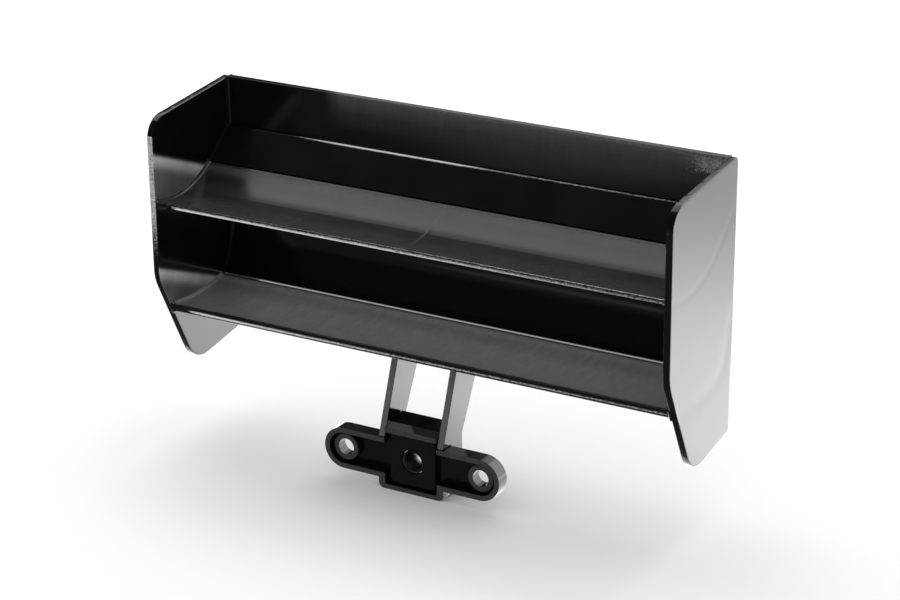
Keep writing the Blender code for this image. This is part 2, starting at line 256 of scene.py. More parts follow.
class Blank:
    """A piece in the making, in millimetres, shaped by bmesh operators."""

    def __init__(self) -> None:
        """Starts with nothing."""
        self.mesh = bmesh.new()
        # Per point: how pale the rub and painted highlight leave an arris, and how strong the painted sheen
        # is, a paler colour that stands in for reflected light.
        self.wear_and_highlight = self.mesh.verts.layers.float.new("wear_and_highlight")
        self.grain = self.mesh.verts.layers.float.new("grain")

    def ring(self, loop: Loop) -> list[bmesh.types.BMEdge]:
        """Adds a closed ring of edges.

        Args:
            loop: Its points in order.

        Returns:
            The new edges.
        """
        verts = [self.mesh.verts.new(point) for point in loop]
        return [self.mesh.edges.new((verts[k - 1], vert)) for k, vert in enumerate(verts)]

    def wall(self, edges: Iterable[bmesh.types.BMEdge], way: Vector) -> list[bmesh.types.BMEdge]:
        """Extrudes rings of edges into walls.

        Args:
            edges: The rings.
            way: How far and in which direction.

        Returns:
            The edges at the far end.
        """
        made = bmesh.ops.extrude_edge_only(self.mesh, edges=list(edges))["geom"]
        verts = [item for item in made if isinstance(item, bmesh.types.BMVert)]
        bmesh.ops.translate(self.mesh, verts=verts, vec=way)
        return [item for item in made if isinstance(item, bmesh.types.BMEdge)]

    def cover(self, *rings: Sequence[bmesh.types.BMEdge]) -> None:
        """Fills the flat area that lies between rings, with the inner ones left open."""
        edges = [edge for ring in rings for edge in ring]
        bmesh.ops.triangle_fill(self.mesh, use_beauty=True, use_dissolve=len(rings) == 1, edges=edges)

    def plate(self, loops: Sequence[Loop], way: Vector) -> "Blank":
        """Adds a plate with a flat outline and any number of holes.

        Args:
            loops: The outline and the rim of each hole, in one plane.
            way: The plate's thickness as a vector.

        Returns:
            The blank itself.
        """
        near = [self.ring(loop) for loop in loops]
        far = [self.wall(ring, way) for ring in near]
        self.cover(*near)
        self.cover(*far)
        return self

    def solid(self, node: str) -> "Blank":
        """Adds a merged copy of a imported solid, with its flat faces freed of needless edges.

        Args:
            node: Name of the CAD node.

        Returns:
            The blank itself.
        """
        add_solid(self.mesh, node)
        bmesh.ops.dissolve_limit(
            self.mesh, angle_limit=radians(0.5), verts=self.mesh.verts, edges=self.mesh.edges,
            use_dissolve_boundaries=False,
        )
        return self

    def turned(
        self, profile: Sequence[tuple[float, float]], axis: Axis, centre: Vector, sides: int = 48
    ) -> "Blank":
        """Adds a shape turned round an axis.

        Args:
            profile: (place along the axis, radius) points, which start and end on the axis or meet.
            axis: The axis to turn round.
            centre: A point on the axis, where the places count from.
            sides: Steps of the turn.

        Returns:
            The blank itself.
        """
        out = Axis((axis.value + 1) % 3).unit()
        places = [centre + axis.unit() * along + out * radius for along, radius in profile]
        verts = [self.mesh.verts.new(place) for place in places]
        edges = [self.mesh.edges.new(pair) for pair in zip(verts, verts[1:])]
        if profile[0][1] > 0:
            edges.append(self.mesh.edges.new((verts[-1], verts[0])))
        bmesh.ops.spin(
            self.mesh, geom=verts + edges, cent=centre, axis=axis.unit(), angle=2 * pi, steps=sides,
            use_merge=True,
        )
        bmesh.ops.remove_doubles(self.mesh, verts=self.mesh.verts, dist=SAME_PLACE)
        return self

    def close(self) -> None:
        """Merges doubles and turns every face outwards."""
        bmesh.ops.remove_doubles(self.mesh, verts=self.mesh.verts, dist=SAME_PLACE / 4)
        bmesh.ops.recalc_face_normals(self.mesh, faces=self.mesh.faces)

    def round_arrises(
        self, width: float, segments: int = 3, where: Callable[[bmesh.types.BMEdge], bool] | None = None
    ) -> "Blank":
        """Rounds the sharp edges.

        Args:
            width: How far the round reaches from each edge, in millimetres.
            segments: Steps of the round.
            where: Says which of the sharp edges to round, all of them if it is left out.

        Returns:
            The blank itself.
        """
        self.close()
        edges = [
            edge for edge in self.mesh.edges
            if len(edge.link_faces) == 2
            and abs(edge.calc_face_angle()) > FLAT_ANGLE
            and (where is None or where(edge))
        ]
        bmesh.ops.bevel(
            self.mesh, geom=edges, offset=width, offset_type="OFFSET", affect="EDGES",
            segments=segments, profile=0.5, material=-1, clamp_overlap=True,
        )
        return self

    def cut_rings(
        self,
        axis: Axis,
        places: Iterable[float],
        where: Callable[[bmesh.types.BMVert], bool] = lambda vert: True,
    ) -> "Blank":
        """Cuts rings of edges round the blank, square to an axis.

        Args:
            axis: The axis.
            places: Where the rings are, in millimetres.
            where: Says which points a cut face has, all of them if it is left out.

        Returns:
            The blank itself.
        """
        for place in places:
            verts = {vert for vert in self.mesh.verts if where(vert)}
            edges = [edge for edge in self.mesh.edges if verts.issuperset(edge.verts)]
            faces = [face for face in self.mesh.faces if verts.issuperset(face.verts)]
            geom = [*(vert for vert in self.mesh.verts if vert in verts), *edges, *faces]
            point = axis.unit() * place
            bmesh.ops.bisect_plane(self.mesh, geom=geom, dist=1e-4, plane_co=point, plane_no=axis.unit())
        return self

    def push(self, distance: Callable[[bmesh.types.BMVert], Vector]) -> "Blank":
        """Moves every point by the vector that a function gives for it.

        Args:
            distance: The function.

        Returns:
            The blank itself.
        """
        self.mesh.normal_update()
        moves = [(vert, distance(vert)) for vert in self.mesh.verts]
        for vert, move in moves:
            vert.co += move
        return self

    def mark(self, wear_and_highlight: Callable[[Vector], float], grain: Callable[[Vector], float]) -> "Blank":
        """Writes how pale the rub and painted highlight leave the surface at each point, and how strong the
        painted sheen is there. 0 is not at all.

        Args:
            wear_and_highlight: Rub and painted highlight at a place in millimetres.
            grain: Painted sheen, a paler colour that stands in for reflected light, at a place in millimetres.

        Returns:
            The blank itself.
        """
        for vert in self.mesh.verts:
            vert[self.wear_and_highlight] = wear_and_highlight(vert.co)
            vert[self.grain] = grain(vert.co)
        return self

    def finish(
        self,
        name: str,
        node: str,
        slot: Slot,
        dress: Sequence[bpy.types.Material],
        polished_y: float = -1000.0,
    ) -> bpy.types.Object:
        """Turns the blank into a piece that stands for a CAD node.

        Args:
            name: Name of the piece.
            node: The CAD node that it replaces.
            slot: The record's material slot; not used.
            dress: Its materials. With two, the second one is on the faces that look along Y.
            polished_y: Where such faces keep the first one after all, in millimetres.

        Returns:
            The piece, in metres, riding on the part's body.
        """
        self.close()
        if len(dress) > 1:
            for face in self.mesh.faces:
                kept = abs(face.calc_center_median().y - polished_y) < SAME_LEVEL
                face.material_index = int(abs(face.normal.y) > cos(FACING_ANGLE) and not kept)
        bmesh.ops.scale(self.mesh, verts=self.mesh.verts, vec=Vector((1, 1, 1)) * MM)
        data = bpy.data.meshes.new(name)
        self.mesh.to_mesh(data)
        self.mesh.free()
        data.shade_smooth()
        for material in dress:
            data.materials.append(material)
        piece = bpy.data.objects.new(name, data)
        bpy.context.scene.collection.objects.link(piece)
        normals = piece.modifiers.new("even_faces", "WEIGHTED_NORMAL")
        normals.keep_sharp = False
        normals.weight = 90
        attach(piece, BODY)
        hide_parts(node)
        log.info("%s stands for %s, with %d faces", name, node, len(data.polygons))
        return piece


# ---------------------------------------------------------------- finishes


def linear(colour: str) -> tuple[float, float, float, float]:
    """Turns an sRGB colour to the linear one that shaders take.

    Args:
        colour: Such as "#1a1a1c".

    Returns:
        Red, green, blue and an alpha of 1.
    """
    parts = [int(colour[k:k + 2], 16) / 255 for k in (1, 3, 5)]
    red, green, blue = [p / 12.92 if p <= 0.04045 else ((p + 0.055) / 1.055) ** 2.4 for p in parts]
    return red, green, blue, 1.0


def per_mm(size: float) -> float:
    """Scale of a pattern whose features are this many millimetres across, on coordinates in metres."""
    return 1 / (size * MM)


def add_node(
    tree: bpy.types.NodeTree, kind: str, inputs: dict[str | int, object] | None = None, **settings: object
) -> bpy.types.Node:
    """Adds a node with its settings, its values and its links.

    Args:
        tree: The tree to add it to.
        kind: Its type, such as "ShaderNodeTexNoise".
        inputs: By the name or number of the input, a value or the output socket to link.
        settings: The node's own properties.

    Returns:
        The node.
    """
    node = tree.nodes.new(kind)
    for name, value in settings.items():
        setattr(node, name, value)
    for name, value in (inputs or {}).items():
        if isinstance(value, bpy.types.NodeSocket):
            tree.links.new(value, node.inputs[name])
        else:
            node.inputs[name].default_value = value
    return node


@dataclass(frozen=True)
class MouldedNylon:
    """Black glass-filled nylon. It takes the finish of the steel tool that it was moulded in.

    Polished steel gives a deep gloss that a slow waviness bends, and spark-eroded steel gives an even satin
    with a fine grain. Arrises that the pieces mark go pale, partly where the skin is rubbed off the glass
    fibres and partly as a painted highlight; areas that they mark take a painted sheen, a paler colour that
    stands in for reflected light.
    """

    name: str
    colour: str = "#0a0a0b"
    # Colour of rubbed arrises and painted highlights, then colour of the grain and of painted sheen.
    rubbed_and_highlit: str = "#dddedf"
    grain_and_sheen_colour: str = "#4a4a4b"
    roughness: float = 0.11
    roughness_spread: float = 0.06
    haze_roughness: float = 0.22
    rub_highlight_roughness: float = 0.2
    rub_highlight_from: float = -0.18
    rub_highlight_full: float = 0.30
    streak_mm: float = 1.1
    streak_stretch: tuple[float, float, float] = (1.0, 0.35, 0.12)
    grain_and_sheen_base: float = 0.42
    wave_mm: float = 9.0
    wave_height_mm: float = 0.010
    grain_mm: float = 0.26
    grain_height_mm: float = 0.012
    grain_everywhere: float = 0.0
    ior: float = 1.53

    def build(self) -> bpy.types.Material:
        """Makes the material."""
        made = bpy.data.materials.new(self.name)
        made.use_nodes = True
        tree = made.node_tree
        shader = tree.nodes["Principled BSDF"]
        shader.inputs["IOR"].default_value = self.ior
        place = add_node(tree, "ShaderNodeTexCoord").outputs["Object"]

        # Slow waves of the skin, left by uneven shrinkage, bend what the gloss reflects.
        wave = add_node(
            tree, "ShaderNodeTexNoise", {"Vector": place, "Scale": per_mm(self.wave_mm), "Detail": 2.0}
        ).outputs["Fac"]
        # The grain of the tool, drawn a little coarser than the real 0.1 mm so that it shows.
        grit = add_node(
            tree, "ShaderNodeTexNoise",
            {"Vector": place, "Scale": per_mm(self.grain_mm), "Detail": 2.0, "Roughness": 0.6},
        ).outputs["Fac"]
        # Painted sheen that the pieces mark: a paler colour that stands in for reflected light.
        painted_sheen_marks = add_node(tree, "ShaderNodeAttribute", attribute_name="grain").outputs["Fac"]
        grain_and_sheen = add_node(
            tree, "ShaderNodeMath", {0: painted_sheen_marks, 1: self.grain_everywhere}, operation="ADD",
        ).outputs[0]

        # Arrises painted pale, partly rubbed and partly a painted highlight, broken up by the grain.
        rub_and_highlight = add_node(tree, "ShaderNodeAttribute", attribute_name="wear_and_highlight").outputs["Fac"]
        above_grit = add_node(tree, "ShaderNodeMath", {0: rub_and_highlight, 1: grit}, operation="SUBTRACT").outputs[0]
        rubbed_and_highlit = add_node(
            tree, "ShaderNodeMapRange",
            {"Value": above_grit, "From Min": self.rub_highlight_from, "From Max": self.rub_highlight_full},
        ).outputs["Result"]
        skin = add_node(tree, "ShaderNodeValToRGB", {"Fac": rubbed_and_highlit})
        skin.color_ramp.elements[0].color = linear(self.colour)
        skin.color_ramp.elements[1].color = linear(self.rubbed_and_highlit)
        # Paler colour: the grain where the skin is grained all over, and elsewhere a painted sheen that stands
        # in for reflected light, drawn out by the flow of the plastic and broken by the grain.
        stretched = add_node(
            tree, "ShaderNodeMapping", {"Vector": place, "Scale": self.streak_stretch}, vector_type="POINT"
        ).outputs["Vector"]
        streak = add_node(
            tree, "ShaderNodeTexNoise",
            {"Vector": stretched, "Scale": per_mm(self.streak_mm), "Detail": 4.0, "Roughness": 0.6},
        ).outputs["Fac"]
        broken = add_node(
            tree, "ShaderNodeMath", {0: streak, 1: grit, 2: self.grain_and_sheen_base}, operation="MULTIPLY_ADD"
        ).outputs[0]
        dulled = add_node(
            tree, "ShaderNodeMath", {0: grain_and_sheen, 1: broken}, operation="MULTIPLY", use_clamp=True
        ).outputs[0]
        grain_and_sheen_mixed = add_node(
            tree, "ShaderNodeMix",
            {"Factor": dulled, 6: skin.outputs["Color"], 7: linear(self.grain_and_sheen_colour)}, data_type="RGBA",
        ).outputs[2]
        tree.links.new(grain_and_sheen_mixed, shader.inputs["Base Color"])

        # Roughness: polish that varies with the waves, more where grained or under painted sheen, and where
        # rubbed or under a painted highlight.
        low, high = self.roughness, self.roughness + self.roughness_spread
        polish = add_node(
            tree, "ShaderNodeMapRange",
            {"Value": wave, "From Min": NOISE_LOW, "From Max": NOISE_HIGH, "To Min": low, "To Max": high},
        ).outputs["Result"]
        with_grain = add_node(
            tree, "ShaderNodeMath", {0: grain_and_sheen, 1: self.haze_roughness, 2: polish}, operation="MULTIPLY_ADD"
        ).outputs[0]
        with_rub = add_node(
            tree, "ShaderNodeMath", {0: rubbed_and_highlit, 1: self.rub_highlight_roughness, 2: with_grain}, operation="MULTIPLY_ADD"
        ).outputs[0]
        tree.links.new(with_rub, shader.inputs["Roughness"])

        # Relief: the slow waves everywhere, and the grain only where the skin is grained or has painted sheen.
        height = add_node(tree, "ShaderNodeMath", {0: grit, 1: grain_and_sheen}, operation="MULTIPLY").outputs[0]
        slow = add_node(
            tree, "ShaderNodeBump", {"Height": wave, "Strength": 1.0, "Distance": self.wave_height_mm * MM}
        ).outputs["Normal"]
        fine = add_node(
            tree, "ShaderNodeBump",
            {"Height": height, "Strength": 1.0, "Distance": self.grain_height_mm * MM, "Normal": slow},
        ).outputs["Normal"]
        tree.links.new(fine, shader.inputs["Normal"])
        return made


@dataclass(frozen=True)
class TurnedSteel:
    """Steel that was cut on a lathe: fine rings round the axis, and a few darker handling marks."""

    name: str
    axis: Axis
    colour: str = "#8f9092"
    tarnish: str = "#4b4c4f"
    roughness: float = 0.26
    stained_roughness: float = 0.14
    ring_mm: float = 1.131
    ring_height_mm: float = 0.004
    stain_mm: float = 1.6
    stain_from: float = 0.32
    stain_full: float = 0.62

    def build(self) -> bpy.types.Material:
        """Makes the material."""
        made = bpy.data.materials.new(self.name)
        made.use_nodes = True
        tree = made.node_tree
        shader = tree.nodes["Principled BSDF"]
        shader.inputs["Metallic"].default_value = 1.0
        place = add_node(tree, "ShaderNodeTexCoord").outputs["Object"]

        # Tool marks: bands square to the axis, drawn coarser than the real 0.05 mm feed so that they show.
        # At a scale of 1 the texture has 20 bands in 2 pi metres.
        rings = add_node(
            tree, "ShaderNodeTexWave",
            {"Vector": place, "Scale": per_mm(self.ring_mm) * 2 * pi / 20, "Distortion": 0.6, "Detail": 1.0},
            wave_type="BANDS", bands_direction=self.axis.name,
        ).outputs["Fac"]
        stain = add_node(
            tree, "ShaderNodeTexNoise", {"Vector": place, "Scale": per_mm(self.stain_mm), "Detail": 4.0}
        ).outputs["Fac"]
        skin = add_node(tree, "ShaderNodeValToRGB", {"Fac": stain})
        dark, bright = skin.color_ramp.elements
        dark.position, dark.color = self.stain_from, linear(self.tarnish)
        bright.position, bright.color = self.stain_full, linear(self.colour)
        tree.links.new(skin.outputs["Color"], shader.inputs["Base Color"])
        rough = add_node(
            tree, "ShaderNodeMapRange",
            {
                "Value": stain, "From Min": NOISE_LOW, "From Max": NOISE_HIGH,
                "To Min": self.roughness + self.stained_roughness, "To Max": self.roughness,
            },
        ).outputs["Result"]
        tree.links.new(rough, shader.inputs["Roughness"])
        relief = add_node(
            tree, "ShaderNodeBump", {"Height": rings, "Strength": 1.0, "Distance": self.ring_height_mm * MM}
        ).outputs["Normal"]
        tree.links.new(relief, shader.inputs["Normal"])
        return made


@dataclass(frozen=True)
class Wardrobe:
    """Every finish that the pieces wear."""

    polished: bpy.types.Material
    haze_prone: bpy.types.Material
    dulled: bpy.types.Material
    sparked: bpy.types.Material
    strut_face: bpy.types.Material
    bush: bpy.types.Material
    screw: bpy.types.Material

    @classmethod
    def stocked(cls) -> "Wardrobe":
        """Makes each finish once."""
        return cls(
            polished=MouldedNylon("polished_black_nylon").build(),
            # The endplates' finish: a bright painted sheen, a painted reflection of the decks.
            haze_prone=MouldedNylon("handled_black_nylon", grain_and_sheen_colour="#bababb").build(),
            # The lower shelf's finish: a duller skin, and a brighter painted sheen that stands in for
            # reflected light.
            dulled=MouldedNylon("dulled_black_nylon", grain_and_sheen_colour="#8e8e8f", roughness=0.16).build(),
            sparked=MouldedNylon(
                "spark_grained_black_nylon", colour="#131314", grain_and_sheen_colour="#505051", roughness=0.30,
                grain_everywhere=0.75, grain_height_mm=0.016,
            ).build(),
            strut_face=MouldedNylon(
                "strut_edge_black_nylon", colour="#303031", grain_and_sheen_colour="#6a6a6b", roughness=0.42,
                grain_everywhere=1.0, grain_height_mm=0.022,
            ).build(),
            bush=TurnedSteel("turned_steel", Axis.Y).build(),
            screw=TurnedSteel(
                "black_oxide_steel", Axis.X, colour="#3a3b3e", tarnish="#1d1e20", roughness=0.3
            ).build(),
        )


# ---------------------------------------------------------------- the wing


@dataclass(frozen=True)
class RubAndHighlightLine:
    """An arris along the span painted pale: partly rubbed by handling, partly a painted highlight.

    Attributes:
        y: Its place, in millimetres.
        z: Its place, in millimetres.
        reach: Distance at which the rub and painted highlight have gone, in millimetres.
        along: (share of the half span from -1 to 1, strength) points.
        full: Share of the reach in which the rub and painted highlight have their whole strength.
    """

    y: float
    z: float
    reach: float
    along: tuple[tuple[float, float], ...]
    full: float = 0.55

    def at(self, point: Vector, half_span: float) -> float:
        """Strength of the rub and painted highlight at a point.

        Args:
            point: The place, in millimetres.
            half_span: Half of the wing's span.

        Returns:
            From 0 to 1.
        """
        away = hypot(point.y - self.y, point.z - self.z)
        if away > self.reach:
            return 0.0
        share = point.x / half_span
        strength = self.along[0][1]
        for (start, first), (end, second) in zip(self.along, self.along[1:]):
            if start <= share <= end:
                strength = first + (second - first) * (share - start) / (end - start)
            elif share > end:
                strength = second
        return strength * (1 - between(away, self.reach * self.full, self.reach))


@dataclass
class DeckPanel:
    """One panel of the decks: a section drawn along the span, which swells into a blend at each endplate.

    Attributes:
        node: The CAD node that it stands for.
        arris: Round of its long arrises, in millimetres, as are all lengths here.
        blend: Radius of the blend at each endplate.
        rubbed_and_highlit: Its arrises painted pale, partly as rubbed by handling and partly as painted
            highlights.
        sheen: (share of the panel's depth, strength) points of painted sheen, a paler colour that stands in
            for reflected light.
        sheen_line: Strength of the line of painted sheen over the rib.
        sheen_from: Where along the span the painted sheen starts.
        sheen_fade: Length over which it comes up from there.
        dull: Whether its skin is duller than the rest of the wing, with a brighter painted sheen.
        clean_top: Whether its top face has no rub or painted highlight.
        lip_depth: How far back the rings round its lip reach.
        rib_mark: Depth of the sink mark over the rib.
        rib_width: Half width of that mark.
        line_width: Half width of the line of painted sheen.
        foot_reach: How far its foot is drawn down over the gap to the next panel.
        foot_height: Height of the foot.
        ring_step: Room between rings of edges along the span.
        first_ring: Where they start, from the middle.
        blend_steps: Where rings cut the blend, as shares of its radius.
        rib_steps: Where rings cut the sink mark, from the middle.
        overlap: How far the panel runs into each endplate.
        inset: How far the blend stays behind the endplate's edges.
        edge_room: Room without rings at the panel's long edges.
    """

    node: str
    arris: float = 0.2
    blend: float = 0.7
    rubbed_and_highlit: tuple[RubAndHighlightLine, ...] = ()
    haze: tuple[tuple[float, float], ...] = ()
    sheen_line: float = 0.0
    sheen_from: float = -1000.0
    sheen_fade: float = 5.0
    dull: bool = False
    clean_top: bool = False
    lip_depth: float = 0.0
    rib_mark: float = 0.0
    rib_width: float = 0.45
    line_width: float = 0.4
    foot_reach: float = 0.0
    foot_height: float = 0.5
    ring_step: float = 2.0
    first_ring: float = 1.6
    blend_steps: tuple[float, ...] = (0.03, 0.1, 0.22, 0.4, 0.65, 1.0)
    rib_steps: tuple[float, ...] = (0.2, 0.45, 0.8)
    overlap: float = 0.05
    inset: float = 0.03
    edge_room: float = 0.3

    def __post_init__(self) -> None:
        """Reads the section and the room between the endplates."""
        self.low, self.high = box_mm(self.node)
        size = self.high - self.low
        self.along = Axis.Z if size.z > size.y else Axis.Y
        self.section = section_of(self.node)
        plate_low, plate_high = box_mm("endplate_right")
        self.inner = plate_low.x
        self.front, self.back = plate_low.y + self.inset, plate_high.y - self.inset
        self.top = box_mm("top_flap")[1].z

    def swell(self, from_plate: float) -> float:
        """How far the blend stands out at a distance from the endplate."""
        away = self.blend - from_plate
        return self.blend - (self.blend ** 2 - away ** 2) ** 0.5 if away > 0 else 0.0

    def rings(self) -> list[float]:
        """Where rings of edges are needed along the span: at the blends, over the rib, and evenly between."""
        near_plate = [self.inner - self.blend * share for share in self.blend_steps]
        over_rib = [0.0, *self.rib_steps] if self.rib_mark else [0.0]
        steps = int((self.inner - self.blend - self.first_ring) / self.ring_step)
        even = [self.first_ring + self.ring_step * k for k in range(steps + 1)]
        half = near_plate + over_rib + even
        return sorted({round(side * place, 4) for place in half for side in (-1, 1)})

    def shift(self, vert: bmesh.types.BMVert) -> Vector:
        """The blend at the endplates, the sink mark over the rib and the foot, as a move of one point."""
        away = self.inner - abs(vert.co.x)
        out = Vector((0, vert.normal.y, vert.normal.z))
        move = Vector()
        if away < self.blend and out.length > 0:
            move = out.normalized() * self.swell(max(away, self.blend * self.blend_steps[0]))
            place = vert.co + move
            place.y = max(self.front, min(self.back, place.y))
            place.z = min(self.top, place.z)
            move = place - vert.co
        if self.rib_mark and vert.normal.z > 0.5:
            move.z -= self.rib_mark * exp(-((vert.co.x / self.rib_width) ** 2))
        if vert.co.z < self.low.z + self.foot_height:
            move.z -= self.foot_reach
        return move

    def wear_and_highlight(self, point: Vector) -> float:
        """Rub and painted highlight at a place."""
        if self.clean_top and point.z > self.high.z - 5 * SAME_PLACE:
            return 0.0
        return max((line.at(point, self.inner) for line in self.rubbed_and_highlit), default=0.0)

    def grain(self, point: Vector) -> float:
        """Painted sheen at a place, a paler colour that stands in for reflected light: it follows the panel's
        depth, and a line of it lies over the rib.
        """
        low, high = self.low[self.along.value], self.high[self.along.value]
        share = (point[self.along.value] - low) / (high - low)
        level = 0.0
        for (start, first), (end, second) in zip(self.haze, self.haze[1:]):
            if start <= share <= end:
                level = first + (second - first) * between(share, start, end)
        level *= between(point.x, self.sheen_from, self.sheen_from + self.sheen_fade)
        return max(level, self.sheen_line * exp(-((point.x / self.line_width) ** 2)))

    def build(self, wardrobe: Wardrobe) -> bpy.types.Object:
        """Makes the panel.

        Args:
            wardrobe: The finishes.

        Returns:
            The piece.
        """
        reach = self.inner + self.overlap
        start = [Vector((-reach, point.y, point.z)) for point in self.section]
        blank = Blank().plate([start], Vector((2 * reach, 0, 0)))
        blank.round_arrises(self.arris, 4, lambda edge: abs(edge.verts[0].co.x - edge.verts[1].co.x) > reach)
        blank.cut_rings(Axis.X, self.rings())
        low, high = self.low[self.along.value], self.high[self.along.value]
        marks = [low + (high - low) * share for share, _ in self.haze]
        for line in self.rubbed_and_highlit:
            place = line.y if self.along is Axis.Y else line.z
            marks += [place - line.reach, place, place + line.reach]
        low, high = low + self.edge_room, high - self.edge_room
        blank.cut_rings(self.along, [mark for mark in marks if low < mark < high])
        if self.lip_depth:
            line = self.rubbed_and_highlit[0]
            lip_end = self.low.y + self.lip_depth
            on_lip = [line.z + line.reach * share for share in (-0.8, 0.0, 0.8)]
            blank.cut_rings(Axis.Z, on_lip, lambda vert: vert.co.y < lip_end)
        blank.push(self.shift)
        blank.mark(self.wear_and_highlight, self.grain)
        dress = wardrobe.dulled if self.dull else wardrobe.polished
        return blank.finish(f"{self.node}_panel", self.node, Slot.GLOSS, [dress])


@dataclass
class Endplate:
    """A flat side plate. Its outer face sinks a hair's breadth along the lines of the decks behind it.

    Attributes:
        side: Which plate it is.
        arris: Round of its arrises, in millimetres, as are all lengths here.
        grid: Room between the lines that cut its faces.
        upper_sink: Depth and half width of the sink mark along the upper deck.
        lower_sink: The same along the lower deck.
        line_points: Number of points that stand for the line of a deck panel.
        skin: Distance from a face under which a point is on that face.
        rub_highlight: Strength of the rub and painted highlight along the front and top arrises.
        rub_highlight_share: Share of the arris that it covers.
        rub_front: How far back from the front edge it reaches.
        rub_highlight_top: How far down from the top edge it reaches.
        front_reflection: Strength of the painted reflection on the left plate's front edge.
        front_reflection_from: Height where that painted reflection starts.
        front_reflection_full: Height where it has its whole strength.
        sheen: Strength of the painted sheen on the inner face, a painted reflection of the decks, just under
            its upper edge.
        sheen_floor: Its strength further down.
        sheen_depth: Distance from the one to the other.
        sheen_rise: How steeply the painted sheen's upper edge rises forwards from the fold.
        sheen_edge: Distance in which the painted sheen comes up from nothing.
    """

    side: Side
    arris: float = 0.2
    grid: float = 0.55
    upper_sink: tuple[float, float] = (0.022, 0.7)
    lower_sink: tuple[float, float] = (0.045, 1.9)
    line_points: int = 13
    skin: float = 0.06
    rub_highlight: float = 0.42
    rub_highlight_share: float = 0.6
    rub_front: float = 6.0
    rub_highlight_top: float = 4.0
    front_reflection: float = 0.56
    front_reflection_from: float = 26.0
    front_reflection_full: float = 44.0
    haze: float = 1.5
    sheen_floor: float = 0.3
    sheen_depth: float = 4.0
    sheen_rise: float = 0.41
    sheen_edge: float = 1.0

    def __post_init__(self) -> None:
        """Reads the outline and the lines of the decks."""
        self.node = f"endplate_{self.side.label}"
        low, high = box_mm(self.node)
        self.outer = high.x if self.side is Side.RIGHT else low.x
        self.inner = low.x if self.side is Side.RIGHT else high.x
        self.low, self.high = low, high
        self.outline = flat_loops(self.node, Axis.X, self.outer)[0]
        self.upper = self.deck_line("upper_shelf") + self.deck_line("upper_riser")
        self.lower = self.deck_line("lower_shelf") + self.deck_line("lower_riser")
        self.upper_fold = box_mm("upper_riser")[0]
        self.lower_fold = box_mm("lower_riser")[0]

    def deck_line(self, node: str) -> Loop:
        """Middle points of a deck panel's section, from its front to its back.

        Args:
            node: The panel's CAD node.

        Returns:
            Points in the plate's plane.
        """
        section = section_of(node)
        low = min(point.y for point in section)
        high = max(point.y for point in section)
        line = []
        for k in range(self.line_points):
            y = low + (high - low) * (k + 0.5) / self.line_points
            crossings = [
                a.z + (b.z - a.z) * (y - a.y) / (b.y - a.y)
                for a, b in zip(section, section[1:] + section[:1])
                if (a.y - y) * (b.y - y) <= 0 and a.y != b.y
            ]
            line.append(Vector((0, y, (min(crossings) + max(crossings)) / 2)))
        return line

    def distance(self, point: Vector, line: Loop) -> float:
        """Distance in the plate's plane from a point to a line of points."""
        away = []
        for a, b in zip(line, line[1:]):
            run = b - a
            here = Vector((0, point.y, point.z)) - a
            share = max(0.0, min(1.0, here.dot(run) / run.length_squared))
            away.append((here - run * share).length)
        return min(away)

    def shift(self, vert: bmesh.types.BMVert) -> Vector:
        """The sink marks, as a move of one point of the outer face."""
        if abs(vert.co.x - self.outer) > SAME_PLACE / 4:
            return Vector()
        depth = 0.0
        for line, (deep, wide) in ((self.upper, self.upper_sink), (self.lower, self.lower_sink)):
            depth += deep * exp(-((self.distance(vert.co, line) / wide) ** 2))
        return Vector((-self.side.value * depth, 0, 0))

    def wear_and_highlight(self, point: Vector) -> float:
        """Rub and painted highlight along the front and top arrises, and a painted reflection over the front
        edge of the left plate.
        """
        from_side = min(abs(point.x - self.outer), abs(point.x - self.inner))
        if from_side <= self.skin:
            return 0.0
        # The left plate's front edge is painted pale: a painted reflection.
        if self.side is Side.LEFT and point.y < self.low.y + 0.4 * self.arris:
            return self.front_reflection * between(point.z, self.front_reflection_from, self.front_reflection_full)
        near_edge = point.y < self.low.y + self.rub_front or point.z > self.high.z - self.rub_highlight_top
        return self.rub_highlight if near_edge and from_side < self.rub_highlight_share * self.arris else 0.0

    def grain(self, point: Vector) -> float:
        """Painted reflection of the decks: a paler colour on the inner face over each deck, below a line that
        rises forwards from the deck's fold.
        """
        if abs(point.x - self.inner) > self.skin:
            return 0.0
        level = 0.0
        for line, fold in ((self.upper, self.upper_fold), (self.lower, self.lower_fold)):
            deck = min(line, key=lambda place: abs(place.y - point.y))
            if point.z > deck.z:
                edge = fold.z + self.sheen_rise * (fold.y - point.y)
                under = 1 - between(point.z, edge - self.sheen_edge, edge)
                near = between(point.z, edge - self.sheen_depth, edge - 0.6 * self.sheen_edge)
                level = max(level, under * (self.sheen_floor + (self.haze - self.sheen_floor) * near))
        return level

    def build(self, wardrobe: Wardrobe) -> bpy.types.Object:
        """Makes the plate.

        Args:
            wardrobe: The finishes.

        Returns:
            The piece.
        """
        blank = Blank().plate([self.outline], Vector((self.inner - self.outer, 0, 0)))
        blank.round_arrises(self.arris, 4)
        for axis, low, high in ((Axis.Y, self.low.y, self.high.y), (Axis.Z, self.low.z, self.high.z)):
            count = int((high - low) / self.grid)
            blank.cut_rings(axis, [low + (high - low) * k / count for k in range(1, count)])
        blank.push(self.shift)
        blank.mark(self.wear_and_highlight, self.grain)
        return blank.finish(f"{self.node}_plate", self.node, Slot.GLOSS, [wardrobe.haze_prone])


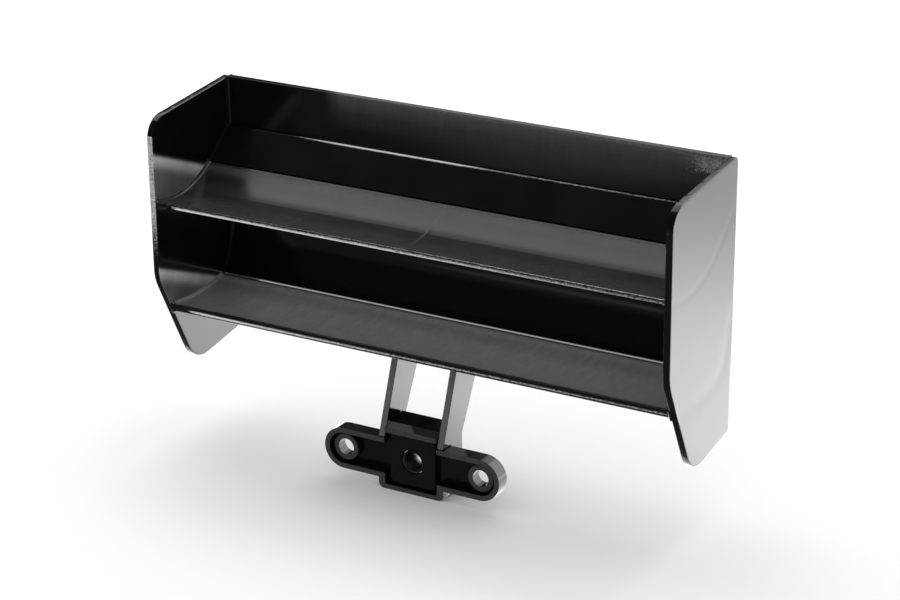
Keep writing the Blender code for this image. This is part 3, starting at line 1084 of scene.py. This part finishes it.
@dataclass
class Wing:
    """The two endplates, the five deck panels and the rib."""

    panels: list[DeckPanel] = field(default_factory=list)
    lip_room: float = 0.05
    lip_share: float = 0.42
    ledge_room: float = 0.5

    def __post_init__(self) -> None:
        """Sets out the panels, with their arrises painted pale as rubbed and as painted highlights, and their
        painted sheen.
        """
        shelf_low = box_mm("upper_shelf")[0]
        lip = [point for point in section_of("upper_shelf") if point.y < shelf_low.y + self.lip_room]
        lip_foot, lip_head = min(lip, key=lambda point: point.z), max(lip, key=lambda point: point.z)
        riser_high = box_mm("upper_riser")[1]
        ledge = [point for point in section_of("upper_riser") if point.z > riser_high.z - self.ledge_room]
        step = min(ledge, key=lambda point: point.y)
        flap_low, flap_high = box_mm("top_flap")
        lower_section = section_of("lower_shelf")
        lower_foot = min(lower_section, key=lambda point: point.z + point.y)
        lip_face = lower_foot.lerp(min(lower_section, key=lambda point: point.y), self.lip_share)
        lower_riser = box_mm("lower_riser")[0]
        # Pale arrises are partly rub and partly painted highlight; sheen levels are painted sheen, a paler
        # colour that stands in for reflected light.
        self.panels = [
            DeckPanel(
                "upper_shelf", arris=0.22, rib_mark=0.03, sheen_line=0.85,
                haze=(
                    (0.0, 0.0), (0.02, 0.3), (0.08, 0.66), (0.3, 0.58),
                    (0.55, 0.26), (0.8, 0.18), (0.92, 0.75), (0.97, 0.0),
                ),
                rubbed_and_highlit=(
                    RubAndHighlightLine(
                        lip_foot.y, lip_foot.z, 0.34,
                        ((-1, 0), (-0.93, 0), (-0.92, 0.95), (0, 0.75), (1, 0.45)),
                    ),
                    RubAndHighlightLine(lip_head.y, lip_head.z, 0.28, ((-1, 0.3), (1, 0.5))),
                ),
            ),
            DeckPanel(
                "upper_riser", arris=0.1, foot_reach=0.3,
                rubbed_and_highlit=(
                    RubAndHighlightLine(
                        step.y, riser_high.z, 0.4,
                        ((-1, 0), (-0.75, 0.1), (-0.5, 1.0), (-0.05, 1.0), (0.1, 0.5), (1, 0.42)),
                    ),
                ),
            ),
            DeckPanel(
                "top_flap", arris=0.16, sheen_from=-32.0, clean_top=True,
                haze=((0.0, 0.0), (0.4, 0.0), (0.7, 0.4), (0.9, 1.1), (1.0, 1.5)),
                rubbed_and_highlit=(
                    RubAndHighlightLine(
                        flap_low.y, flap_high.z - 0.4, 0.5,
                        ((-1, 0), (-0.62, 0), (-0.45, 0.22), (0, 0.45), (1, 0.55)),
                    ),
                    RubAndHighlightLine(flap_low.y, flap_high.z, 5.0, ((-1, 0), (0.8, 0.1), (0.9, 0.5), (1, 0.8))),
                ),
            ),
            DeckPanel(
                "lower_shelf", arris=0.3, dull=True, lip_depth=0.7,
                haze=(
                    (0.0, 0.0), (0.035, 0.0), (0.07, 0.8), (0.3, 0.85),
                    (0.6, 0.9), (0.8, 0.75), (0.92, 1.1), (0.97, 0.0),
                ),
                rubbed_and_highlit=(
                    RubAndHighlightLine(
                        lip_face.y, lip_face.z, 0.5,
                        ((-1, 0), (-0.94, 0), (-0.9, 1.0), (-0.6, 0.85), (0, 0.6), (1, 0.5)),
                    ),
                ),
            ),
            DeckPanel(
                "lower_riser", arris=0.1, foot_reach=0.3,
                rubbed_and_highlit=(
                    RubAndHighlightLine(
                        lower_riser.y, lower_riser.z, 0.4,
                        ((-1, 0), (-0.75, 0.2), (-0.5, 0.62), (0.1, 0.55), (0.4, 0.2), (1, 0)),
                    ),
                ),
            ),
        ]

    def build_rib(self, wardrobe: Wardrobe) -> bpy.types.Object:
        """Makes the web under the middle of the upper deck."""
        low, high = box_mm("centre_rib")
        loops = flat_loops("centre_rib", Axis.X, low.x)
        blank = Blank().plate(loops[:1], Vector((high.x - low.x, 0, 0)))
        blank.round_arrises(0.15)
        return blank.finish("centre_rib_web", "centre_rib", Slot.GLOSS, [wardrobe.polished])

    def build(self, wardrobe: Wardrobe) -> None:
        """Makes every piece of the wing.

        Args:
            wardrobe: The finishes.
        """
        for side in Side:
            Endplate(side).build(wardrobe)
        for panel in self.panels:
            panel.build(wardrobe)
        self.build_rib(wardrobe)


# ---------------------------------------------------------------- the stay


@dataclass
class Strut:
    """A leaning blade and the lug and cross screws that hold its head under the lower shelf.

    All lengths are in millimetres. nut_face is the share of the nut's flats that its chamfers leave flat.
    """

    side: Side
    arris: float = 0.16
    lug_thickness: float = 1.4
    clearance: float = 0.1
    thread_radius: float = 0.8
    thread_pitch: float = 0.35
    thread_depth: float = 0.11
    plain_length: float = 1.0
    point_length: float = 0.3
    point_round: float = 0.05
    head_chamfer: float = 0.06
    head_round: float = 0.35
    socket_radius: float = 0.7
    socket_depth: float = 0.8
    socket_lead: float = 0.1
    socket_cone: float = 0.2
    nut_bore: float = 0.85
    nut_face: float = 0.97
    nut_chamfer: float = 0.24
    bore_chamfer: float = 0.15

    def __post_init__(self) -> None:
        """Reads the blade's faces and the axes of the screws."""
        self.node = f"strut_{self.side.label}"
        self.low, self.high = box_mm(self.node)
        self.outer = self.high.x if self.side is Side.RIGHT else self.low.x
        self.thickness = self.high.x - self.low.x

    def build_blade(self, wardrobe: Wardrobe) -> bpy.types.Object:
        """Makes the blade, with a fine grain on its narrow faces, and polished on its sides."""
        loops = with_round_holes(flat_loops(self.node, Axis.X, self.outer))
        blank = Blank().plate(loops, Vector((-self.side.value * self.thickness, 0, 0)))
        blank.round_arrises(self.arris)
        return blank.finish(
            f"{self.node}_blade", self.node, Slot.GRAINED, [wardrobe.polished, wardrobe.strut_face]
        )

    def build_lug(self, wardrobe: Wardrobe) -> bpy.types.Object:
        """Makes the ear that stands down from the lower shelf beside the blade's head."""
        inner = self.outer + self.side.value * self.clearance
        loops = with_round_holes(flat_loops("lower_shelf", Axis.X, inner))
        blank = Blank().plate(loops, Vector((self.side.value * self.lug_thickness, 0, 0)))
        blank.round_arrises(self.arris)
        return blank.finish(f"{self.node}_lug", "lower_shelf", Slot.GLOSS, [wardrobe.polished])

    def build_screw(self, where: str, wardrobe: Wardrobe) -> bpy.types.Object:
        """Makes a socket head screw with its thread.

        Args:
            where: Which of the two, front or rear.
            wardrobe: The finishes.

        Returns:
            The piece.
        """
        node = f"strut_screw_{self.side.label}_{where}"
        low, high = box_mm(node)
        centre = (low + high) / 2
        tip, top = sorted((abs(low.x), abs(high.x)))
        head_radius = (high.y - low.y) / 2
        under = abs(self.outer) + self.lug_thickness + 2 * self.clearance
        radius, point = self.thread_radius, self.point_length
        plain = under - self.plain_length
        bend = self.point_round
        profile = [(tip, 0.0), (tip, radius - point), (tip + point - bend, radius - bend)]
        for k in range(int((plain - tip - point) / self.thread_pitch)):
            start = tip + point + k * self.thread_pitch
            profile += [(start, radius), (start + self.thread_pitch / 2, radius - self.thread_depth)]
        chamfer, bend = self.head_chamfer, self.head_round
        profile += [(plain, radius), (under, radius), (under, head_radius - chamfer)]
        profile += [(under + chamfer, head_radius)]
        for turn in (0, pi / 8, pi / 4, 3 * pi / 8, pi / 2):
            profile += [(top - bend + bend * sin(turn), head_radius - bend + bend * cos(turn))]
        socket, lead, floor = self.socket_radius, self.socket_lead, top - self.socket_depth
        profile += [(top, socket + 1.2 * lead), (top - lead, socket)]
        profile += [(floor, socket), (floor - self.socket_cone, 0.0)]
        placed = [(self.side.value * along, across) for along, across in profile]
        blank = Blank().turned(placed, Axis.X, Vector((0, centre.y, centre.z)), 48)

        def hexagon(vert: bmesh.types.BMVert) -> Vector:
            """Draws the socket's round wall out to a hexagon."""
            away = Vector((0, vert.co.y - centre.y, vert.co.z - centre.z))
            on_wall = socket / 2 < away.length < socket + SAME_PLACE
            if not on_wall or abs(vert.co.x) < floor - SAME_PLACE:
                return Vector()
            turn = atan2(away.z, away.y) % (pi / 3) - pi / 6
            return away * (cos(pi / 6) / cos(turn) - 1)

        blank.push(hexagon)
        name = node.replace("strut_screw", "strut_socket_screw")
        return blank.finish(name, node, Slot.SCREW, [wardrobe.screw])

    def build_nut(self, where: str, wardrobe: Wardrobe) -> bpy.types.Object:
        """Makes a hexagon nut with chamfered corners.

        Args:
            where: Which of the two, front or rear.
            wardrobe: The finishes.

        Returns:
            The piece.
        """
        node = f"strut_nut_{self.side.label}_{where}"
        low, high = box_mm(node)
        centre = (low + high) / 2
        flats = min(high.y - low.y, high.z - low.z) / 2
        bore, lead, chamfer = self.nut_bore, self.bore_chamfer, self.nut_chamfer
        face, corner = flats * self.nut_face, flats / cos(pi / 6)
        half = (high.x - low.x) / 2
        profile = [
            (-half, bore + lead), (-half, face), (-half + chamfer, corner), (half - chamfer, corner),
            (half, face), (half, bore + lead), (half - lead, bore), (-half + lead, bore),
        ]
        blank = Blank().turned(profile, Axis.X, centre, 72)

        def flatten(vert: bmesh.types.BMVert) -> Vector:
            """Draws the round body in to six flats."""
            away = Vector((0, vert.co.y - centre.y, vert.co.z - centre.z))
            turn = (atan2(away.z, away.y) + pi / 6) % (pi / 3) - pi / 6
            limit = flats / cos(turn)
            return away * (limit / away.length - 1) if away.length > limit else Vector()

        blank.push(flatten)
        name = node.replace("strut_nut", "strut_hexagon_nut")
        return blank.finish(name, node, Slot.SCREW, [wardrobe.screw])

    def build(self, wardrobe: Wardrobe) -> None:
        """Makes the blade, its lug and its fixings.

        Args:
            wardrobe: The finishes.
        """
        self.build_blade(wardrobe)
        self.build_lug(wardrobe)
        for where in ("front", "rear"):
            self.build_screw(where, wardrobe)
            self.build_nut(where, wardrobe)


@dataclass
class Bracket:
    """The bar with its rim, recess and bosses, the centre plate, the bush and the web behind.

    All lengths are in millimetres.
    """

    arris: float = 0.14
    recess_depth: float = 2.0
    bush_lip: float = 0.25
    bush_wall: float = 0.5
    bush_step: float = 0.22
    bush_step_depth: float = 2.2

    def __post_init__(self) -> None:
        """Reads the seat of the bush, which is the widest hole in the bar's back."""
        back = flat_loops("mount_bracket", Axis.Y, box_mm("mount_bracket")[1].y)
        self.seat_radius = max(girth(loop) for loop in back[1:]) / (2 * pi)

    def build_bar(self, wardrobe: Wardrobe) -> bpy.types.Object:
        """Makes the bar."""
        blank = Blank().solid("mount_bracket").round_arrises(self.arris)
        dress = [wardrobe.polished, wardrobe.sparked]
        return blank.finish("mount_bracket_bar", "mount_bracket", Slot.GRAINED, dress, self.recess_depth)

    def build_plate(self, wardrobe: Wardrobe) -> bpy.types.Object:
        """Makes the square plate round the bush."""
        low, high = box_mm("centre_plate")
        outline = flat_loops("centre_plate", Axis.Y, low.y)[0]
        hole = circle(Vector((0, low.y, 0)), Axis.Y, self.seat_radius)
        blank = Blank().plate([outline, hole], Vector((0, high.y - low.y, 0)))
        blank.round_arrises(self.arris)
        return blank.finish("centre_plate_cover", "centre_plate", Slot.GRAINED, [wardrobe.polished])

    def build_bush(self, wardrobe: Wardrobe) -> bpy.types.Object:
        """Makes the turned tube, with round lips and a step inside."""
        low, high = box_mm("centre_bush")
        outer = (high.x - low.x) / 2
        bore, lip = outer - self.bush_wall, self.bush_lip
        narrow, step_y = bore - self.bush_step, low.y + self.bush_step_depth
        edge = 0.6 * lip
        profile = [
            (low.y + edge, outer), (low.y, outer - edge), (low.y, bore + lip),
            (low.y + 0.4 * lip, bore + 0.25 * lip), (low.y + lip, bore), (step_y, bore),
            (step_y + edge, narrow), (high.y - lip, narrow), (high.y, bore), (high.y, outer - edge),
            (high.y - edge, outer),
        ]
        blank = Blank().turned(profile, Axis.Y, Vector(), 96)
        return blank.finish("centre_bush_sleeve", "centre_bush", Slot.BUSH, [wardrobe.bush])

    def build_web(self, wardrobe: Wardrobe) -> bpy.types.Object:
        """Makes the shelf that ties the struts together."""
        low, high = box_mm("cross_web")
        loops = flat_loops("cross_web", Axis.X, low.x)
        blank = Blank().plate(loops[:1], Vector((high.x - low.x, 0, 0)))
        blank.round_arrises(self.arris)
        return blank.finish("cross_web_shelf", "cross_web", Slot.GRAINED, [wardrobe.polished])

    def build(self, wardrobe: Wardrobe) -> None:
        """Makes every piece of the bracket.

        Args:
            wardrobe: The finishes.
        """
        self.build_bar(wardrobe)
        self.build_plate(wardrobe)
        self.build_bush(wardrobe)
        self.build_web(wardrobe)


# ---------------------------------------------------------------- the studio


@dataclass(frozen=True)
class Viewpoint:
    """Where the camera stands, as angles round the part and a distance from the point that it aims at."""

    azimuth: float = 30.27
    elevation: float = 21.27
    roll: float = -0.545
    aim_mm: tuple[float, float, float] = (7.5, 2.8, 34.2)
    distance_mm: float = 481.0
    lens: float = 103.13
    sensor: float = 36.0
    nearest: float = 0.01
    farthest: float = 20.0

    def build(self) -> bpy.types.Object:
        """Makes the camera and gives it to the scene."""
        turn, lift = radians(self.azimuth), radians(self.elevation)
        back = Vector((sin(turn) * cos(lift), -cos(turn) * cos(lift), sin(lift)))
        data = bpy.data.cameras.new("studio_camera")
        data.lens, data.sensor_width = self.lens, self.sensor
        data.clip_start, data.clip_end = self.nearest, self.farthest
        camera = bpy.data.objects.new("studio_camera", data)
        camera.location = (Vector(self.aim_mm) + back * self.distance_mm) * MM
        camera.rotation_mode = "QUATERNION"
        level = (-back).to_track_quat("-Z", "Y")
        camera.rotation_quaternion = level @ Quaternion((0, 0, 1), radians(self.roll))
        bpy.context.scene.collection.objects.link(camera)
        bpy.context.scene.camera = camera
        return camera


@dataclass
class Studio:
    """A white table with a soft light over and behind it, and a dark room in front.

    Black gloss shows only what it reflects, so the table has a second sheet that the gloss alone sees: bright
    behind and beside the part, and dark in front, as a back light and black flags would leave it.
    """

    table_size: float = 6.0
    sheet_gap_mm: float = 0.2
    white: str = "#f4f4f4"
    ambient: float = 1.03
    softbox_level: float = 1.45
    softbox_size_mm: tuple[float, float] = (760.0, 800.0)
    softbox_place_mm: tuple[float, float, float] = (-190.0, 370.0, 500.0)
    back_level: float = 4.3
    far_back_level: float = 2.1
    side_level: float = 2.4
    front_level: float = 0.10
    room_level: float = 0.04
    side_band_mm: tuple[float, float] = (0.0, 6.0)
    back_band_mm: tuple[float, float] = (10.0, 50.0)
    far_band_mm: tuple[float, float] = (70.0, 200.0)
    wall_level: float = 4.0
    wall_from: tuple[float, float] = (0.02, 0.35)
    wall_full: tuple[float, float] = (0.25, 0.7)
    glow_level: float = 0.45
    glow_place_mm: tuple[float, float] = (-75.0, -195.0)
    glow_radius_mm: float = 62.0

    def build_table(self) -> None:
        """Makes the white sheet that the part stands on."""
        material = bpy.data.materials.new("table_white")
        material.use_nodes = True
        tree = material.node_tree
        shader = tree.nodes["Principled BSDF"]
        shader.inputs["Base Color"].default_value = linear(self.white)
        shader.inputs["Roughness"].default_value = 0.9
        shader.inputs["Specular IOR Level"].default_value = 0.0
        self.sheet("table", CAD_BOX[0].z, material).visible_glossy = False

    def sheet(self, name: str, height: float, material: bpy.types.Material) -> bpy.types.Object:
        """Makes a level square sheet.

        Args:
            name: Its name.
            height: In metres.
            material: Its material.

        Returns:
            The sheet, marked as no part of the object.
        """
        mesh = bmesh.new()
        bmesh.ops.create_grid(mesh, x_segments=1, y_segments=1, size=self.table_size / 2)
        bmesh.ops.translate(mesh, verts=mesh.verts, vec=(0, 0, height))
        data = bpy.data.meshes.new(name)
        mesh.to_mesh(data)
        mesh.free()
        data.materials.append(material)
        made = bpy.data.objects.new(name, data)
        bpy.context.scene.collection.objects.link(made)
        made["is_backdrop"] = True
        return made

    def build_reflected_table(self) -> None:
        """Makes the sheet that only the gloss sees."""
        material = bpy.data.materials.new("reflected_table")
        material.use_nodes = True
        tree = material.node_tree
        tree.nodes.clear()
        place = add_node(tree, "ShaderNodeTexCoord").outputs["Object"]
        split = add_node(tree, "ShaderNodeSeparateXYZ", {"Vector": place})
        bands = (
            (self.side_band_mm, self.front_level, self.side_level),
            (self.back_band_mm, 0.0, self.back_level - self.side_level),
            (self.far_band_mm, 0.0, self.far_back_level - self.back_level),
        )
        steps = []
        for (start, end), low, high in bands:
            step = add_node(
                tree, "ShaderNodeMapRange",
                {
                    "Value": split.outputs["Y"], "From Min": start * MM, "From Max": end * MM,
                    "To Min": low, "To Max": high,
                },
                interpolation_type="SMOOTHSTEP",
            )
            steps.append(step.outputs["Result"])
        centre = (self.glow_place_mm[0] * MM, self.glow_place_mm[1] * MM, CAD_BOX[0].z)
        away = add_node(
            tree, "ShaderNodeVectorMath", {0: place, 1: centre}, operation="DISTANCE"
        ).outputs["Value"]
        radius = self.glow_radius_mm * MM
        glow = add_node(
            tree, "ShaderNodeMapRange",
            {
                "Value": away, "From Min": radius / 2, "From Max": radius,
                "To Min": self.glow_level, "To Max": 0.0,
            },
            interpolation_type="SMOOTHSTEP",
        )
        steps.append(glow.outputs["Result"])
        level = steps[0]
        for step in steps[1:]:
            level = add_node(tree, "ShaderNodeMath", {0: level, 1: step}, operation="ADD").outputs[0]
        light = add_node(tree, "ShaderNodeEmission", {"Strength": level})
        add_node(tree, "ShaderNodeOutputMaterial", {"Surface": light.outputs["Emission"]})
        made = self.sheet("reflected_table", CAD_BOX[0].z - self.sheet_gap_mm * MM, material)
        made.visible_camera = made.visible_diffuse = made.visible_shadow = made.visible_transmission = False

    def build_softbox(self) -> None:
        """Hangs the soft light over and behind the part."""
        width, depth = (size * MM for size in self.softbox_size_mm)
        data = bpy.data.lights.new("softbox", "AREA")
        data.shape = "RECTANGLE"
        data.size, data.size_y = width, depth
        data.energy = self.softbox_level * pi * width * depth
        lamp = bpy.data.objects.new("softbox", data)
        lamp.location = Vector(self.softbox_place_mm) * MM
        bpy.context.scene.collection.objects.link(lamp)

    def build_world(self) -> None:
        """Makes the room, white to the eye and as light. The gloss sees it dark, with one white wall.

        The wall is behind the part, to the right.
        """
        world = bpy.data.worlds.new("white_room")
        world.use_nodes = True
        tree = world.node_tree
        tree.nodes.clear()
        ray = add_node(tree, "ShaderNodeLightPath").outputs
        way = add_node(tree, "ShaderNodeTexCoord").outputs["Generated"]
        split = add_node(tree, "ShaderNodeSeparateXYZ", {"Vector": way}).outputs
        rightwards = add_node(
            tree, "ShaderNodeMapRange",
            {"Value": split["X"], "From Min": self.wall_from[0], "From Max": self.wall_full[0]},
        ).outputs["Result"]
        backwards = add_node(
            tree, "ShaderNodeMapRange",
            {
                "Value": split["Y"], "From Min": self.wall_from[1], "From Max": self.wall_full[1],
                "To Min": 0.0, "To Max": self.wall_level,
            },
        ).outputs["Result"]
        reflected = add_node(
            tree, "ShaderNodeMath", {0: rightwards, 1: backwards, 2: self.room_level}, operation="MULTIPLY_ADD"
        ).outputs[0]
        lit = add_node(
            tree, "ShaderNodeMix", {0: ray["Is Glossy Ray"], 2: self.ambient, 3: reflected}
        ).outputs[0]
        seen = add_node(
            tree, "ShaderNodeMath", {0: lit, 1: ray["Is Camera Ray"]}, operation="MAXIMUM"
        ).outputs[0]
        back = add_node(tree, "ShaderNodeBackground", {"Strength": seen})
        add_node(tree, "ShaderNodeOutputWorld", {"Surface": back.outputs["Background"]})
        bpy.context.scene.world = world

    def build(self) -> None:
        """Makes the whole studio."""
        self.build_table()
        self.build_reflected_table()
        self.build_softbox()
        self.build_world()
        bpy.context.scene.view_settings.view_transform = "Standard"


def write_sizes() -> None:
    """Gathers the CAD box and the box of what is shown, and keeps neither."""
    boxes = {"cad": CAD_BOX, "visual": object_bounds()}
    {name: [list(corner) for corner in box] for name, box in boxes.items()}


def main() -> None:
    """Builds the looks."""
    logging.basicConfig(level=logging.INFO, format="%(message)s")
    Viewpoint().build()
    Studio().build()
    wardrobe = Wardrobe.stocked()
    Wing().build(wardrobe)
    for side in Side:
        Strut(side).build(wardrobe)
    Bracket().build(wardrobe)
    write_sizes()


if __name__ == "__main__":
    main()
